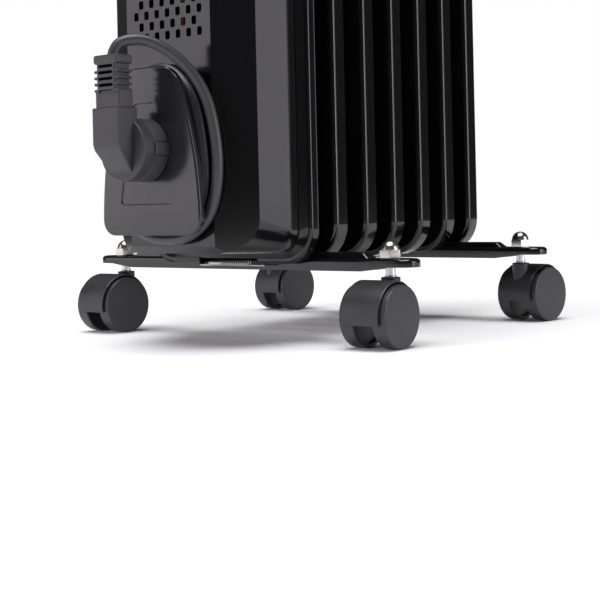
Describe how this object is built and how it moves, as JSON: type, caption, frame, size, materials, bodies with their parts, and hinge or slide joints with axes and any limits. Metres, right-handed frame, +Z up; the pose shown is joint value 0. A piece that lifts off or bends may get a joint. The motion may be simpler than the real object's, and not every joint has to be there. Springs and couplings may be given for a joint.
{
  "type": "oil filled radiator heater",
  "caption": "Portable oil filled column heater with pressed fins, faceted front control housing, vent slots, cord winder with plug, foot bars and twin-wheel swivel casters.",
  "frame": {"origin": "on the floor under the middle of the heater's box, cord and plug left out", "axes": "+Z up, +Y from the control housing towards the far fin, +X to the right when looking at the controls from behind the winder along +Y"},
  "size_m": [0.2782, 0.3381, 0.648],
  "materials": {
    "enamel": "gloss black stove enamel",
    "winder_plastic": "satin moulded",
    "plug_plastic": "fine matt texture",
    "cord_jacket": "smooth flexible jacket",
    "nickel": "bright nickel plate",
    "zinc": "bright zinc plate",
    "caster_plastic": "fine satin moulding",
    "element_steel": "heat-dulled",
    "fascia_plastic": "satin",
    "knob_plastic": "semi-gloss",
    "rocker_plastic": "translucent red",
    "brass": "turned",
    "insulator": "moulded phenolic",
    "wire_insulation": "silicone sleeve"
  },
  "bodies": {
    "heater": {"band_spring": "zinc", "cap_nuts": "nickel", "carry_handle": "winder_plastic", "caster_stems": "zinc", "clamp_band": "enamel", "collars_lower": "enamel", "collars_upper": "enamel", "control_fascia": "fascia_plastic", "cord_coil": "cord_jacket", "cord_gland": "cord_jacket", "cord_tube": "cord_jacket", "element_flange": "element_steel", "filler_plug": "zinc", "fin_1": "enamel", "fin_2": "enamel", "fin_3": "enamel", "fin_4": "enamel", "fin_5": "enamel", "fin_6": "enamel", "fin_7": "enamel", "foot_bracket_front": "enamel", "foot_bracket_rear": "enamel", "handle_screws": "zinc", "heating_element": "element_steel", "housing_frame": "enamel", "housing_shell": "enamel", "mains_plug": "plug_plastic", "plug_pins": "nickel", "switch_frames": "knob_plastic", "terminal_block": "insulator", "thermal_cutout": "zinc", "thermostat_body": "insulator", "u_bolt_nuts": "zinc", "u_bolts": "zinc", "winder_hub": "winder_plastic", "winder_plate": "winder_plastic", "wiring_loom": "wire_insulation"},
    "caster_front_left": {"hood_front_left": "caster_plastic", "axle_front_left": "zinc"},
    "wheel_front_left_left_body": {"wheel_front_left_left": "caster_plastic"},
    "wheel_front_left_right_body": {"wheel_front_left_right": "caster_plastic"},
    "caster_front_right": {"hood_front_right": "caster_plastic", "axle_front_right": "zinc"},
    "wheel_front_right_left_body": {"wheel_front_right_left": "caster_plastic"},
    "wheel_front_right_right_body": {"wheel_front_right_right": "caster_plastic"},
    "caster_rear_left": {"hood_rear_left": "caster_plastic", "axle_rear_left": "zinc"},
    "wheel_rear_left_left_body": {"wheel_rear_left_left": "caster_plastic"},
    "wheel_rear_left_right_body": {"wheel_rear_left_right": "caster_plastic"},
    "caster_rear_right": {"hood_rear_right": "caster_plastic", "axle_rear_right": "zinc"},
    "wheel_rear_right_left_body": {"wheel_rear_right_left": "caster_plastic"},
    "wheel_rear_right_right_body": {"wheel_rear_right_right": "caster_plastic"},
    "knob": {"thermostat_knob": "knob_plastic", "thermostat_shaft": "brass"},
    "switch_1": {"rocker_1": "rocker_plastic"},
    "switch_2": {"rocker_2": "rocker_plastic"}
  },
  "joints": [
    {"name": "swivel_front_left", "type": "hinge", "parent": "heater", "child": "caster_front_left", "pos_m": [-0.118, -0.059, 0.035], "axis": [0, 0, 1], "continuous": true},
    {"name": "roll_front_left_left", "type": "hinge", "parent": "caster_front_left", "child": "wheel_front_left_left_body", "pos_m": [-0.11865, -0.07228, 0.02], "axis": [0.9988, -0.0489, 0], "continuous": true},
    {"name": "roll_front_left_right", "type": "hinge", "parent": "caster_front_left", "child": "wheel_front_left_right_body", "pos_m": [-0.11865, -0.07228, 0.02], "axis": [0.9988, -0.0489, 0], "continuous": true},
    {"name": "swivel_front_right", "type": "hinge", "parent": "heater", "child": "caster_front_right", "pos_m": [0.118, -0.059, 0.035], "axis": [0, 0, 1], "continuous": true},
    {"name": "roll_front_right_left", "type": "hinge", "parent": "caster_front_right", "child": "wheel_front_right_left_body", "pos_m": [0.11795, -0.0723, 0.02], "axis": [1, -0.0035, 0], "continuous": true},
    {"name": "roll_front_right_right", "type": "hinge", "parent": "caster_front_right", "child": "wheel_front_right_right_body", "pos_m": [0.11795, -0.0723, 0.02], "axis": [1, -0.0035, 0], "continuous": true},
    {"name": "swivel_rear_left", "type": "hinge", "parent": "heater", "child": "caster_rear_left", "pos_m": [-0.118, 0.116, 0.035], "axis": [0, 0, 1], "continuous": true},
    {"name": "roll_rear_left_left", "type": "hinge", "parent": "caster_rear_left", "child": "wheel_rear_left_left_body", "pos_m": [-0.11682, 0.12925, 0.02], "axis": [0.996, -0.0889, 0], "continuous": true},
    {"name": "roll_rear_left_right", "type": "hinge", "parent": "caster_rear_left", "child": "wheel_rear_left_right_body", "pos_m": [-0.11682, 0.12925, 0.02], "axis": [0.996, -0.0889, 0], "continuous": true},
    {"name": "swivel_rear_right", "type": "hinge", "parent": "heater", "child": "caster_rear_right", "pos_m": [0.118, 0.116, 0.035], "axis": [0, 0, 1], "continuous": true},
    {"name": "roll_rear_right_left", "type": "hinge", "parent": "caster_rear_right", "child": "wheel_rear_right_left_body", "pos_m": [0.11992, 0.12916, 0.02], "axis": [0.9895, -0.1444, 0], "continuous": true},
    {"name": "roll_rear_right_right", "type": "hinge", "parent": "caster_rear_right", "child": "wheel_rear_right_right_body", "pos_m": [0.11992, 0.12916, 0.02], "axis": [0.9895, -0.1444, 0], "continuous": true},
    {"name": "thermostat_turn", "type": "hinge", "parent": "heater", "child": "knob", "pos_m": [0, -0.14, 0.525], "axis": [0, 1, 0], "range_deg": [0, 270]},
    {"name": "rocker_press_1", "type": "hinge", "parent": "heater", "child": "switch_1", "pos_m": [-0.015, -0.1321, 0.44], "axis": [-1, 0, 0], "range_deg": [0, 16]},
    {"name": "rocker_press_2", "type": "hinge", "parent": "heater", "child": "switch_2", "pos_m": [0.015, -0.1321, 0.44], "axis": [-1, 0, 0], "range_deg": [0, 16]}
  ]
}
